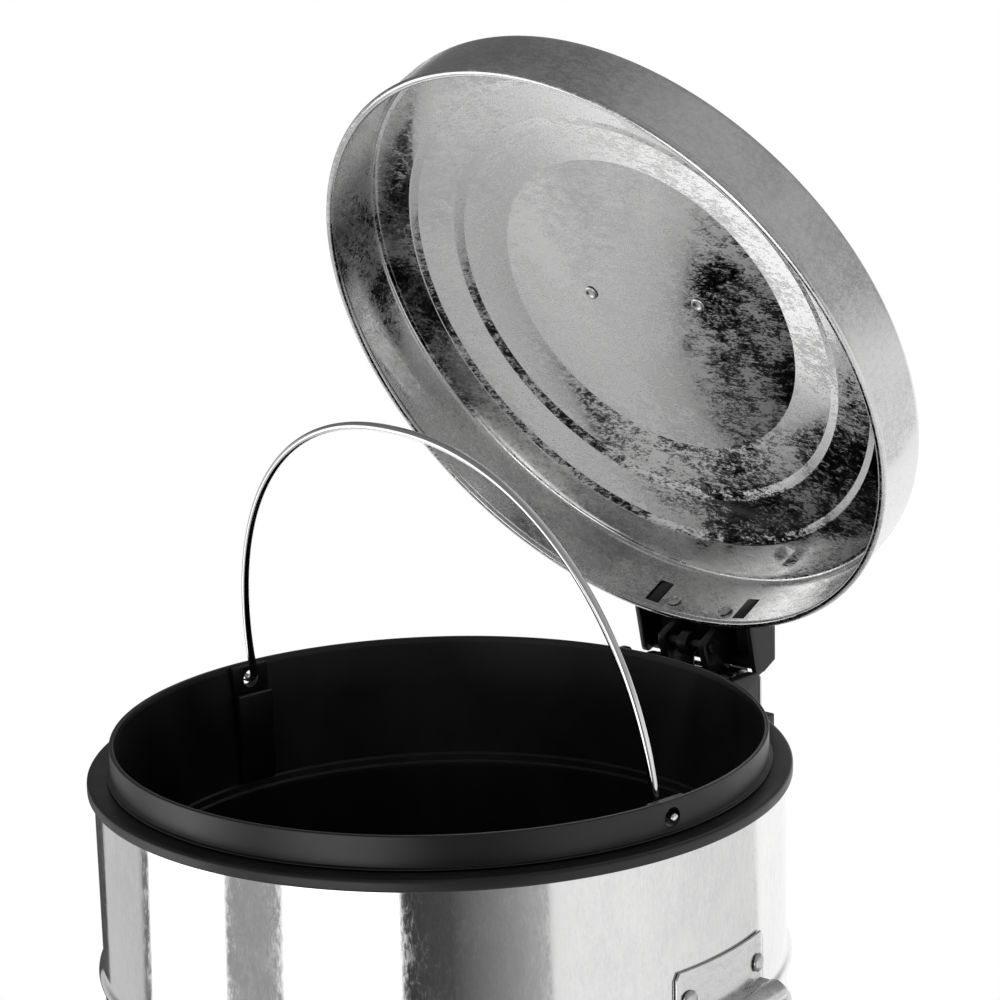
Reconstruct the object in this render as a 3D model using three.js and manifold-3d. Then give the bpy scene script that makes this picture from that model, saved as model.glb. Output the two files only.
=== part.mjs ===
// Oily waste can: a round steel can with a plastic bucket, a pedal and a hinged steel lid.
// Millimetres, +Z up. +Y is the hinge side, -Y the pedal side, and the side handles are on +X and -X.
// The lid stands open, as it does with the pedal pressed down.
import * as THREE from 'three';
import { mergeVertices } from 'three/addons/utils/BufferGeometryUtils.js';
import Module from 'manifold-3d';

const wasm = await Module();
wasm.setup();

// ---------------------------------------------------------------- driving dimensions

const rimHeight = 410; // top edge of the bucket's collar above the ground
const gap = 0.35; // running room between pieces that touch
const rounds = 48; // flats on the large round pieces

const body = { radius: 143, sheet: 0.9, bottom: 60, beadOut: 2.2, beadHalf: 4.5, upperBead: 96.5, lowerBead: 296 };
const ring = { radius: 145.7, inner: 134.6, top: 13.6, skirt: 18.5, plug: 30 };
const base = { radius: 147.5, top: 66, bottom: 5, wall: 4, footWidth: 19 };
const pan = { height: 70, sheet: 1.2 };
const bucket = { rim: 136, wall: 2.1, flange: 137.4, flangeDrop: 12.6, step: 56, floor: 76, turn: -5.5 };
const lid = { rimRadius: 145.7, bead: 1.8, skirt: 144, sheet: 0.9, closedDrop: 9.8, openAngle: 62.9 };
const hinge = { y: 170.5, drop: 18.3, pinRadius: 4, pinHalf: 30.5 };
const bracket = { half: 33.6, wall: 2.5, lugIn: 10, lugOut: 13.5 };
const block = { half: 38.3, flank: 3.5, flankBack: 165, back: 177.5, cheekIn: 26.5, cheekOut: 30, bottom: 38 };
const bail = { wire: 1.75, pivotDrop: 7, half: 127.8, height: 136, bulge: 2.21, lean: 8.4, end: 137.6 };
const rod = { radius: 3, pinY: 152, pinDrop: 17.3, length: 368, openTilt: 1.76, pinRadius: 2.5 };
const lever = { pivotY: 63, pivotZ: 34, rear: 89, front: 250, half: 10, thick: 2.5, openAngle: 4.4 };
const cover = { half: 31.7, sheet: 1.2, back: 180, flange: 17 };
const plate = { turn: 3.3, span: 11.6, top: 66.5, bottom: 90, rivetSpan: 9.1, rivetDrop: 78 };
const tube = { radius: 5.2, bore: 3.7, half: 26.5, out: 149.2, drop: 90 };
const grip = { wire: 3, half: 33, fall: 46, corner: 12 };
const strap = { rivetX: 30.3, y: -5, width: 18, rise: 20, sheet: 1.6 };

const below = (drop) => rimHeight - drop;
const radians = THREE.MathUtils.degToRad;

// ---------------------------------------------------------------- materials

const finish = (color, roughness, metalness) => () =>
  new THREE.MeshStandardMaterial({ color, roughness, metalness });
const galvanised = finish(0xb9bcbf, 0.38, 0.9);
const brightSteel = finish(0xd2d4d6, 0.18, 1.0);
const zincPlate = finish(0xa9acae, 0.35, 0.9);
const blackPlastic = finish(0x161616, 0.5, 0.0);
const blackRubber = finish(0x101010, 0.85, 0.0);

// ---------------------------------------------------------------- shape helpers

// Turns a closed geometry inside out if its faces point inward.
function facingOut(geometry) {
  const merged = geometry.clone();
  merged.deleteAttribute('normal');
  merged.deleteAttribute('uv');
  const closed = mergeVertices(merged, 1e-4);
  const index = closed.index.array;
  const p = closed.attributes.position;
  const [a, b, c] = [new THREE.Vector3(), new THREE.Vector3(), new THREE.Vector3()];
  let volume = 0;
  for (let i = 0; i < index.length; i += 3) {
    a.fromBufferAttribute(p, index[i]);
    b.fromBufferAttribute(p, index[i + 1]);
    c.fromBufferAttribute(p, index[i + 2]);
    volume += a.dot(b.cross(c));
  }
  if (volume < 0) {
    for (let i = 0; i < index.length; i += 3) {
      [index[i], index[i + 1]] = [index[i + 1], index[i]];
    }
  }
  return closed;
}

function solid(geometry) {
  const closed = facingOut(geometry);
  return new wasm.Manifold(
    new wasm.Mesh({
      numProp: 3,
      vertProperties: new Float32Array(closed.attributes.position.array),
      triVerts: new Uint32Array(closed.index.array),
    }),
  );
}

function shell(manifold) {
  const mesh = manifold.getMesh();
  const geometry = new THREE.BufferGeometry();
  geometry.setAttribute('position', new THREE.BufferAttribute(mesh.vertProperties, 3));
  geometry.setIndex(new THREE.BufferAttribute(mesh.triVerts, 1));
  geometry.computeVertexNormals();
  return geometry;
}

const join = (...pieces) => shell(pieces.map(solid).reduce((sum, piece) => sum.add(piece)));
const cut = (stock, ...tools) => shell(tools.map(solid).reduce((rest, tool) => rest.subtract(tool), solid(stock)));
const common = (a, b) => shell(solid(a).intersect(solid(b)));

// A closed profile of [radius, height] pairs, turned about Z.
function revolve(profile, segments = rounds) {
  const points = profile.map(([r, z]) => new THREE.Vector2(r, z));
  const onAxis = profile[0][0] === 0 && profile[profile.length - 1][0] === 0;
  if (!onAxis) points.push(points[0].clone());
  return facingOut(new THREE.LatheGeometry(points, segments).rotateX(Math.PI / 2));
}

function extrude(outline, depth) {
  const shape = new THREE.Shape(outline.map(([u, v]) => new THREE.Vector2(u, v)));
  return new THREE.ExtrudeGeometry(shape, { depth, bevelEnabled: false, steps: 1 });
}

// Outlines drawn in plan (x, y), from the side (y, z) and from the front (x, z).
const planSlab = (outline, z0, z1) => extrude(outline, z1 - z0).translate(0, 0, z0);

function sideSlab(outline, x0, x1) {
  const turn = new THREE.Matrix4().makeBasis(
    new THREE.Vector3(0, 1, 0),
    new THREE.Vector3(0, 0, 1),
    new THREE.Vector3(1, 0, 0),
  );
  return extrude(outline, x1 - x0).applyMatrix4(turn).translate(x0, 0, 0);
}

const frontSlab = (outline, y0, y1) => extrude(outline, y1 - y0).rotateX(Math.PI / 2).translate(0, y1, 0);

function block3(x0, x1, y0, y1, z0, z1) {
  return new THREE.BoxGeometry(x1 - x0, y1 - y0, z1 - z0).translate((x0 + x1) / 2, (y0 + y1) / 2, (z0 + z1) / 2);
}

// A rod of the given radius from x0 to x1, along X, centred on (y, z).
function rodAlongX(radius, x0, x1, y, z, sides = 20) {
  return new THREE.CylinderGeometry(radius, radius, x1 - x0, sides).rotateZ(Math.PI / 2).translate((x0 + x1) / 2, y, z);
}

const postAlongZ = (radius, z0, z1, x, y, sides = 20) =>
  new THREE.CylinderGeometry(radius, radius, z1 - z0, sides).rotateX(Math.PI / 2).translate(x, y, (z0 + z1) / 2);

const disc = (radius, z0, z1) => postAlongZ(radius, z0, z1, 0, 0, rounds);

// Wire of round section along a curve.
function wire(path, radius, sides, steps) {
  const section = [];
  for (let i = 0; i < sides; i += 1) {
    const a = (2 * Math.PI * i) / sides;
    section.push(new THREE.Vector2(radius * Math.cos(a), radius * Math.sin(a)));
  }
  const options = { extrudePath: path, steps, bevelEnabled: false };
  return facingOut(new THREE.ExtrudeGeometry(new THREE.Shape(section), options));
}

// Points on a circle's arc, in degrees.
function arc(cx, cy, radius, from, to, count) {
  const points = [];
  for (let i = 0; i <= count; i += 1) {
    const a = radians(from + ((to - from) * i) / count);
    points.push([cx + radius * Math.cos(a), cy + radius * Math.sin(a)]);
  }
  return points;
}

// A domed rivet along +Z: its head rests on z = 0 and its shank reaches down to -depth.
function rivet(head, dome, shank, depth) {
  const profile = [[0, -depth], [shank, -depth], [shank, 0], [head, 0], [head * 0.7, dome * 0.8], [0, dome]];
  return revolve(profile, 10);
}

function place(parent, name, geometry, material) {
  const mesh = new THREE.Mesh(geometry, material());
  mesh.name = name;
  parent.add(mesh);
  return mesh;
}

const assembly = new THREE.Group();
const can = new THREE.Group();
assembly.add(can);

// ---------------------------------------------------------------- the steel can

// The sheet's outer line, bottom to top, with two rolled beads.
function bodyLine(inset) {
  const r = body.radius - inset;
  const line = [[r, body.bottom]];
  for (const drop of [body.lowerBead, body.upperBead]) {
    const z = below(drop);
    line.push([r, z - body.beadHalf], [r + body.beadOut, z], [r, z + body.beadHalf]);
  }
  line.push([r, below(16.4)]);
  return line;
}

place(can, 'outer_body', revolve([...bodyLine(0), ...bodyLine(body.sheet).reverse()]), galvanised);

function bottomPan() {
  const r = body.radius - body.sheet - gap;
  const low = pan.height - 8;
  const under = pan.height - pan.sheet;
  return revolve([[0, pan.height], [r, pan.height], [r, low], [r - pan.sheet, low], [r - pan.sheet, under], [0, under]]);
}
place(can, 'bottom_pan', bottomPan(), galvanised);

// The base: a hoop that the shell stands in, a foot flange, and a housing for the linkage at the back.
function baseRing() {
  const seat = body.radius + gap;
  const inner = body.radius - 4;
  const hoop = revolve([
    [base.radius, base.bottom], [base.radius, base.top - 2], [base.radius - 1.4, base.top], [seat, base.top],
    [seat, body.bottom - gap], [inner, body.bottom - gap], [inner, base.bottom + base.wall],
    [base.radius - base.footWidth, base.bottom + base.wall], [base.radius - base.footWidth, base.bottom],
  ]);
  const half = cover.half + 3;
  const back = cover.back + 3;
  const housing = cut(
    block3(-half, half, 136, back, base.bottom, base.top),
    disc(base.radius - 2, 0, 90),
    block3(-half + base.wall, half - base.wall, 100, back - base.wall, 0, 90),
  );
  const slots = [
    block3(-13, 13, -160, -120, 10, 62),
    block3(-13, 13, 120, 160, 0, 62),
    block3(-7, 7, body.radius + gap, 160, 55, 70),
  ];
  return cut(join(hoop, housing), ...slots);
}
place(can, 'base_ring', baseRing(), blackPlastic);

for (const [i, side] of ['front_right', 'rear_right', 'rear_left', 'front_left'].entries()) {
  const a = radians(-45 + 90 * i);
  const r = base.radius - base.footWidth / 2;
  const foot = revolve([[0, 0], [7.2, 0], [8, 0.8], [8, base.bottom - gap], [0, base.bottom - gap]], 12);
  place(can, `foot_${side}`, foot, blackRubber).position.set(r * Math.cos(a), r * Math.sin(a), 0);
}

// ---------------------------------------------------------------- the top ring and its hinge block

function ringHoop() {
  const top = below(ring.top);
  const skirt = below(ring.skirt);
  const groove = below(16.4) + gap;
  const plug = below(ring.plug);
  return revolve([
    [ring.inner, top], [ring.radius - 0.9, top], [ring.radius, top - 0.9], [ring.radius, skirt + 0.8],
    [ring.radius - 0.7, skirt], [body.radius + 0.5, skirt], [body.radius + 0.5, groove],
    [body.radius - 1.3, groove], [body.radius - 1.3, plug], [body.radius - 4, plug],
    [body.radius - 4, top - 3.4], [ring.inner, top - 3.4],
  ]);
}

// Two outer flanks guard the lid's bracket, and two inner cheeks carry the hinge pin.
function hingeBlock() {
  const bottom = below(block.bottom);
  const floor = below(31);
  const flankTop = below(9);
  const cheekTop = below(12.3);
  const pieces = [block3(-block.half, block.half, 128, block.back, bottom, floor)];
  for (const s of [-1, 1]) {
    const [a, b] = [s * block.half, s * (block.half - block.flank)].sort((p, q) => p - q);
    const [c, d] = [s * block.cheekIn, s * block.cheekOut].sort((p, q) => p - q);
    pieces.push(block3(a, b, 128, block.flankBack, floor - 1, flankTop));
    pieces.push(sideSlab([
      [128, floor - 1], [block.back, floor - 1], [block.back, cheekTop - 3], [block.back - 3, cheekTop],
      [128, cheekTop],
    ], c, d));
    pieces.push(block3(...[s * 14, s * 23].sort((p, q) => p - q), 175, block.back, floor - 1, below(12.6)));
  }
  const web = block3(-block.cheekOut, block.cheekOut, 128, 145.9, floor - 1, below(ring.top));
  return cut(
    join(...pieces, web),
    disc(body.radius + 0.5, bottom - 5, below(16.4) + gap),
    disc(ring.radius + 1.5, below(ring.top), rimHeight + 5),
    disc(ring.radius - 3, bottom - 5, rimHeight + 5),
    rodAlongX(hinge.pinRadius + 0.3, -35, 35, hinge.y, below(hinge.drop)),
    block3(-9, 9, 146.8, 172, bottom - 5, floor + 5),
  );
}
place(can, 'top_ring', join(ringHoop(), hingeBlock()), blackPlastic);

place(
  can,
  'hinge_pin',
  rodAlongX(hinge.pinRadius, -hinge.pinHalf, hinge.pinHalf, hinge.y, below(hinge.drop)),
  brightSteel,
);

for (const [side, x] of [['left', -24.6], ['right', 23.4]]) {
  const clip = cut(
    rodAlongX(6.6, x, x + 1.2, hinge.y, below(hinge.drop)),
    rodAlongX(hinge.pinRadius + gap, x - 1, x + 3, hinge.y, below(hinge.drop)),
    block3(x - 1, x + 3, hinge.y - 2.6, hinge.y + 2.6, below(hinge.drop) - 12, below(hinge.drop)),
  );
  place(can, `pin_clip_${side}`, clip, zincPlate);
}

// ---------------------------------------------------------------- the rear cover of the push rod

function rodCover() {
  const outer = body.radius + gap + cover.sheet;
  const inner = body.radius + gap;
  const inside = cover.half - cover.sheet;
  const at = (r, x) => THREE.MathUtils.radToDeg(Math.acos(x / r));
  const reach = cover.half + cover.flange - 5;
  const outline = [
    ...arc(0, 0, outer, at(outer, reach), at(outer, cover.half), 2),
    [cover.half, cover.back], [-cover.half, cover.back],
    ...arc(0, 0, outer, at(outer, -cover.half), at(outer, -reach), 2),
    ...arc(0, 0, inner, at(inner, -reach), at(inner, -inside), 2),
    [-inside, cover.back - cover.sheet], [inside, cover.back - cover.sheet],
    ...arc(0, 0, inner, at(inner, inside), at(inner, reach), 2),
  ];
  const channel = planSlab(outline, base.top + gap, below(block.bottom) - gap);
  const tongue = block3(-29, 29, cover.back - cover.sheet, cover.back, below(block.bottom) - 2, below(15));
  const beads = [body.upperBead, body.lowerBead].map((drop) => {
    const z = below(drop);
    return revolve([[140, z - 5], [146, z - 5], [146, z + 5], [140, z + 5]]);
  });
  return cut(join(channel, tongue), ...beads, disc(body.radius + 0.25, 60, 390));
}
place(can, 'rod_cover', rodCover(), galvanised);

for (const [name, x, drop] of [
  ['upper_right', 38, 70], ['upper_left', -38, 70], ['lower_right', 38, 270], ['lower_left', -38, 270],
]) {
  const head = place(can, `cover_rivet_${name}`, rivet(3.4, 1.6, 1.5, 0.2), zincPlate);
  const r = body.radius + 2 * gap + cover.sheet + 0.15;
  const a = Math.asin(x / r);
  head.position.set(x, r * Math.cos(a), below(drop));
  head.rotation.set(-Math.PI / 2, 0, -a, 'ZYX');
}

// ---------------------------------------------------------------- the bucket and its bail

function bucketLine(inset) {
  const r = bucket.rim - inset;
  return [
    [119.5 - inset, bucket.floor + (inset ? 2.6 : 0)], [122 - inset, bucket.floor + (inset ? 5 : 3)],
    [129 - inset, below(bucket.step + 3)], [131.6 - inset, below(bucket.step)],
    [133.4 - inset, below(20)], [134 - inset, below(13.1)],
    [r, inset ? below(11) : below(13.1)], [r, below(0.8)], [bucket.rim - 0.5 - inset * 0.5, rimHeight],
  ];
}

function bucketShell() {
  const outside = bucketLine(0);
  outside.splice(6, 1, [bucket.flange, below(13.1)], [bucket.flange, below(bucket.flangeDrop)],
    [bucket.rim, below(bucket.flangeDrop - 0.4)]);
  const inside = bucketLine(bucket.wall).reverse();
  inside.shift();
  const profile = [[0, bucket.floor], ...outside, ...inside, [0, bucket.floor + 2.6]];
  const pieces = [revolve(profile)];
  const tools = [];
  for (const s of [-1, 1]) {
    const slab = (r0, r1, z0, z1) => block3(Math.min(s * r0, s * r1), Math.max(s * r0, s * r1), -9.5, 9.5, z0, z1);
    pieces.push(slab(130.8, 135, below(13), below(0.7)), slab(127.2, 130.8, below(54), below(13)));
    tools.push(rodAlongX(4, s > 0 ? 126 : -142, s > 0 ? 142 : -126, 0, below(bail.pivotDrop)));
  }
  return cut(join(...pieces), ...tools);
}

const bucketGroup = new THREE.Group();
bucketGroup.rotation.z = radians(bucket.turn);
can.add(bucketGroup);
place(bucketGroup, 'inner_bucket', bucketShell(), blackPlastic);

// The arch of the bail, in its own plane: straight stub ends, a short bend and a nearly round bow.
function bailPath() {
  const points = [];
  const bow = 40;
  for (let i = 1; i < bow; i += 1) {
    const a = (Math.PI * i) / bow;
    const [c, s] = [Math.cos(a), Math.sin(a)];
    const x = bail.half * Math.sign(c) * Math.abs(c) ** (2 / bail.bulge);
    points.push(new THREE.Vector3(x, 0, bail.height * s ** (2 / bail.bulge)));
  }
  const stub = (s) => [
    [bail.end, 0], [bail.end - 3, 0], [132, 0], [129.6, 0.8], [bail.half + 0.2, 3.2],
  ].map(([x, z]) => new THREE.Vector3(s * x, 0, z));
  const bowPoints = points.filter((p) => p.z > 9);
  return new THREE.CatmullRomCurve3([...stub(1), ...bowPoints, ...stub(-1).reverse()], false, 'centripetal');
}

const bailMesh = place(bucketGroup, 'bail', wire(bailPath(), bail.wire, 7, 56), brightSteel);
bailMesh.position.z = below(bail.pivotDrop);
bailMesh.rotation.x = radians(bail.lean);

// ---------------------------------------------------------------- the lid

// Everything on the lid is drawn in its closed place, then swung open about the hinge pin.
const lidSwing = new THREE.Group();
lidSwing.position.set(0, hinge.y, below(hinge.drop));
lidSwing.rotation.x = -radians(lid.openAngle);
can.add(lidSwing);
const lidGroup = new THREE.Group();
lidGroup.position.set(0, -hinge.y, -below(hinge.drop));
lidSwing.add(lidGroup);

const lidPlane = below(lid.closedDrop);
const slotHalf = [21.6, 28.9];
const bracketRivet = { x: 15, rise: 7.3 };

// The pressed top's outer line, from the skirt to the centre: a rim flat, three steps and a middle disc.
const lidTop = [
  [lid.skirt, 26.5], [lid.skirt - 1.2, 29.6], [lid.skirt - 4, 30.9], [122.4, 30.9], [118.8, 32.6],
  [101.1, 36.0], [96.6, 37.6], [79, 41.5], [76, 42.2], [0, 42.2],
];

function lidPressing() {
  const t = lid.sheet;
  const beadX = lid.rimRadius - lid.bead;
  const bead = arc(beadX, 0, lid.bead, 75, -195, 7);
  const inside = lidTop.slice(2).map(([r, h]) => [Math.max(r - (r > 100 ? t * 0.4 : t * 0.2), 0), h - t]);
  const profile = [
    [lid.skirt - t, 1.6], [lid.skirt - t, 26.2], [lid.skirt - t - 1, 28.8], ...inside,
    ...[...lidTop].reverse(), ...bead,
  ];
  const turned = revolve(profile.map(([r, h]) => [r, lidPlane + h]));
  const tools = [];
  for (const s of [-1, 1]) {
    const [a, b] = [s * slotHalf[0], s * slotHalf[1]].sort((p, q) => p - q);
    tools.push(block3(a, b, 120, 155, lidPlane + 3.1, lidPlane + 16.9));
    tools.push(radialPeg(2.2, s * bracketRivet.x, 120, 155, lidPlane + bracketRivet.rise));
    tools.push(postAlongZ(2.2, lidPlane + 30, lidPlane + 60, s * strap.rivetX, strap.y, 12));
  }
  return cut(turned, ...tools);
}

// A peg that points at the can's axis, through (x, ~skirt) at height z.
function radialPeg(radius, x, r0, r1, z) {
  const a = Math.asin(x / lid.skirt);
  return new THREE.CylinderGeometry(radius, radius, r1 - r0, 12).translate(0, (r0 + r1) / 2, 0).rotateZ(-a).translate(0, 0, z);
}
place(lidGroup, 'lid', lidPressing(), galvanised);

function strapHandle() {
  const z = lidPlane + 42.2 + gap;
  const t = strap.sheet;
  const foot = strap.rivetX + 8;
  const knee = strap.rivetX - 8;
  const line = [[-foot, z], [-knee, z], [-knee + 3, z + strap.rise - 4], [-knee + 8, z + strap.rise]];
  const outer = [...line, ...line.map(([x, h]) => [-x, h]).reverse()];
  const lift = [[-foot, t], [-knee - t, t], [-knee + 3 - t, strap.rise - 3.4], [-knee + 7, strap.rise + t]];
  const upper = [...lift, ...lift.map(([x, h]) => [-x, h]).reverse()].map(([x, h]) => [x, z + h]).reverse();
  const y0 = strap.y - strap.width / 2;
  const holes = [-1, 1].map((s) => postAlongZ(2.2, z - 5, z + 8, s * strap.rivetX, strap.y, 12));
  return cut(frontSlab([...outer, ...upper], y0, y0 + strap.width), ...holes);
}
place(lidGroup, 'lid_handle', strapHandle(), galvanised);

for (const [side, s] of [['left', -1], ['right', 1]]) {
  const top = lidPlane + 42.2 + gap + strap.sheet + gap;
  const under = lidPlane + 42.2 - lid.sheet - gap;
  const stem = rivet(4.2, 1.9, 1.8, 3).translate(0, 0, top);
  const tail = rivet(3.7, 1.4, 1.8, 3).rotateX(Math.PI).translate(0, 0, under);
  const pin = join(stem, tail, postAlongZ(1.8, under - 0.2, top + 0.2, 0, 0, 10));
  place(lidGroup, `lid_handle_rivet_${side}`, pin, zincPlate).position.set(s * strap.rivetX, strap.y, 0);
}

// ---------------------------------------------------------------- the lid's hinge bracket

const topSlope = [[141, below(-11.9)], [153, below(-5.7)], [167.3, below(1.6)]];

function bracketShell() {
  const w = bracket.wall;
  const sideWall = [[140.4, below(9.1)], [166.5, below(16.2)], ...[...topSlope].reverse()];
  const roof = [...topSlope, ...topSlope.map(([y, z]) => [y, z - 2.8]).reverse()];
  const lug = [
    [147.2, below(-8.6)], [147.2, below(20.5)], [150, below(22.2)], [166, below(24.6)],
    ...arc(hinge.y, below(hinge.drop), 7.4, -60, 90, 6), [167.3, below(9)], [167.3, below(1.6)], [153, below(-5.7)],
  ];
  const pieces = [
    sideSlab(roof, -bracket.half, bracket.half),
    block3(-bracket.half, bracket.half, 167.3 - w, 167.3, below(10.8), below(2.4)),
    common(
      revolve([[144.4, lidPlane + 2.4], [147.2, lidPlane + 2.4], [147.2, lidPlane + 21], [144.4, lidPlane + 21]]),
      block3(-bracket.half, bracket.half, 100, 160, lidPlane, lidPlane + 30),
    ),
  ];
  for (const s of [-1, 1]) {
    const pair = (a, b) => [s * a, s * b].sort((p, q) => p - q);
    pieces.push(sideSlab(sideWall, ...pair(bracket.half - w, bracket.half)));
    pieces.push(sideSlab(lug, ...pair(bracket.lugIn, bracket.lugOut)));
  }
  const body3 = cut(
    join(...pieces),
    disc(lid.skirt + 0.4, lidPlane - 20, lidPlane + 40),
    disc(lid.rimRadius + 0.6, lidPlane - 20, lidPlane + 2.3),
    rodAlongX(hinge.pinRadius + 0.3, -20, 20, hinge.y, below(hinge.drop)),
    rodAlongX(rod.pinRadius + 0.3, -20, 20, rod.pinY, below(rod.pinDrop), 12),
    ...[-1, 1].map((s) => radialPeg(2.2, s * bracketRivet.x, 120, 151, lidPlane + bracketRivet.rise)),
  );
  const tabs = [-1, 1].map((s) => {
    const [a, b] = [s * (slotHalf[0] + 0.4), s * (slotHalf[1] - 0.4)].sort((p, q) => p - q);
    return block3(a, b, 140.9, 145.2, lidPlane + 3.5, lidPlane + 16.5);
  });
  return join(body3, ...tabs);
}
place(lidGroup, 'hinge_bracket', bracketShell(), blackPlastic);

for (const [side, s] of [['left', -1], ['right', 1]]) {
  const a = Math.asin((s * bracketRivet.x) / lid.skirt);
  const head = place(lidGroup, `bracket_rivet_${side}`, rivet(3.3, 1.4, 1.8, 6), zincPlate);
  const r = lid.skirt - lid.sheet - gap;
  head.position.set(r * Math.sin(a), r * Math.cos(a), lidPlane + bracketRivet.rise);
  head.rotation.set(Math.PI / 2, 0, -a, 'ZYX');
}

place(lidGroup, 'rod_pin', rodAlongX(rod.pinRadius, -14.6, 14.6, rod.pinY, below(rod.pinDrop), 12), blackPlastic);

// ---------------------------------------------------------------- the push rod

// The rod hangs from its upper pin; its lower pin rides in the lever's fork.
const swing = radians(lid.openAngle);
const fromHinge = [rod.pinY - hinge.y, hinge.drop - rod.pinDrop];
const rodTop = [
  hinge.y + fromHinge[0] * Math.cos(swing) + fromHinge[1] * Math.sin(swing),
  below(hinge.drop) - fromHinge[0] * Math.sin(swing) + fromHinge[1] * Math.cos(swing),
];
const rodGroup = new THREE.Group();
rodGroup.position.set(0, rodTop[0], rodTop[1]);
rodGroup.rotation.x = -radians(rod.openTilt);
can.add(rodGroup);

function pushRod() {
  const pieces = [postAlongZ(rod.radius, -rod.length + 3, -3, 0, 0, 12)];
  for (const z of [0, -rod.length]) pieces.push(rodAlongX(5.6, -2.6, 2.6, 0, z, 16));
  const holes = [0, -rod.length].map((z) => rodAlongX(rod.pinRadius + 0.3, -5, 5, 0, z, 12));
  return cut(join(...pieces), ...holes);
}
place(rodGroup, 'push_rod', pushRod(), blackPlastic);
place(rodGroup, 'lever_pin', rodAlongX(rod.pinRadius, -9, 9, 0, -rod.length, 12), brightSteel);

// ---------------------------------------------------------------- the pedal

const pedalGroup = new THREE.Group();
pedalGroup.position.set(0, lever.pivotY, lever.pivotZ);
pedalGroup.rotation.x = radians(lever.openAngle);
can.add(pedalGroup);

const roundedSlab = (halfX, y0, y1, r, z0, z1) =>
  planSlab([
    ...arc(halfX - r, y0 + r, r, -90, 0, 4), ...arc(halfX - r, y1 - r, r, 0, 90, 4),
    ...arc(-halfX + r, y1 - r, r, 90, 180, 4), ...arc(-halfX + r, y0 + r, r, 180, 270, 4),
  ], z0, z1);

function pedalLever() {
  const h = lever.half;
  const t = lever.thick;
  return cut(
    join(
      block3(-h, h, -lever.front + 4, lever.rear, -t, t),
      block3(-h, h, lever.rear - 10, lever.rear + 11, -8, 8),
      rodAlongX(7, -h, h, 0, 0),
      roundedSlab(36, -lever.front - 12, -lever.front + 32, 8, -t, 0.4),
    ),
    rodAlongX(3.3, -20, 20, 0, 0, 16),
    block3(-3.4, 3.4, lever.rear - 9, lever.rear + 30, -20, 20),
    block3(-20, 20, lever.rear - 7, lever.rear + 6.5, -4.2, 4.8),
  );
}
place(pedalGroup, 'pedal_lever', pedalLever(), zincPlate);

function pedalPad() {
  const z = lever.thick + gap;
  const pad = roundedSlab(38, -lever.front - 14, -lever.front + 30, 9, z, z + 5);
  const ribs = [0, 1, 2, 3, 4].map((i) => {
    const y = -lever.front - 9 + 8 * i;
    return block3(-31, 31, y, y + 3, z + 4, z + 6.6);
  });
  return join(pad, ...ribs);
}
place(pedalGroup, 'pedal_pad', pedalPad(), blackRubber);

function pivotBracket() {
  const z = pan.height - pan.sheet - gap;
  const outline = [
    [-14, 25], [-14, z - 1.8], [-30, z - 1.8], [-30, z], [30, z], [30, z - 1.8], [14, z - 1.8], [14, 25],
    [11.4, 25], [11.4, z - 1.8], [-11.4, z - 1.8], [-11.4, 25],
  ];
  return cut(
    frontSlab(outline, lever.pivotY - 13, lever.pivotY + 13),
    rodAlongX(3.3, -20, 20, lever.pivotY, lever.pivotZ, 16),
  );
}
place(can, 'pivot_bracket', pivotBracket(), galvanised);
place(can, 'pivot_pin', rodAlongX(3, -17, 17, lever.pivotY, lever.pivotZ, 16), brightSteel);

// ---------------------------------------------------------------- the side handles

function handlePlate() {
  const r0 = body.radius + gap;
  const r1 = r0 + 1.1;
  const [a, b] = [-plate.span, plate.span];
  const sector = planSlab(
    [...arc(0, 0, r1, a, b, 6), ...arc(0, 0, r0, b, a, 6)],
    below(plate.bottom),
    below(plate.top),
  );
  const loop = new THREE.CylinderGeometry(tube.radius, tube.radius, 2 * tube.half, 20);
  const foot = below(plate.bottom);
  const web = cut(
    block3(141.3, tube.out, -tube.half, tube.half, foot - 1, foot + 4.4),
    disc(r0 + 0.25, 250, 360),
  );
  const bore = new THREE.CylinderGeometry(tube.bore, tube.bore, 2 * tube.half + 4, 16);
  const corners = [-1, 1].map((s) =>
    block3(120, 160, -3, 3, -6, 6)
      .rotateX(s * radians(28))
      .translate(0, s * (plate.span * 2.5 + 0.8), below(plate.top) + 1.6),
  );
  loop.translate(tube.out, 0, below(tube.drop));
  bore.translate(tube.out, 0, below(tube.drop));
  return cut(join(sector, loop, web), bore, disc(r0 - 0.05, 250, 360), ...corners);
}

// The drop handle: one wire, butted inside the plate's rolled band.
function gripPath() {
  const { half, fall, corner } = grip;
  const x = 0;
  const path = new THREE.CurvePath();
  const p = (y, z) => new THREE.Vector3(x, y, z);
  const bend = (from, through, to) => path.add(new THREE.QuadraticBezierCurve3(p(...from), p(...through), p(...to)));
  const line = (from, to) => path.add(new THREE.LineCurve3(p(...from), p(...to)));
  line([0.6, 0], [half - 8, 0]);
  bend([half - 8, 0], [half, 0], [half, -8]);
  line([half, -8], [half, -fall + corner]);
  bend([half, -fall + corner], [half, -fall], [half - corner, -fall]);
  line([half - corner, -fall], [-half + corner, -fall]);
  bend([-half + corner, -fall], [-half, -fall], [-half, -fall + corner]);
  line([-half, -fall + corner], [-half, -8]);
  bend([-half, -8], [-half, 0], [-half + 8, 0]);
  line([-half + 8, 0], [-0.6, 0]);
  return path;
}

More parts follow.
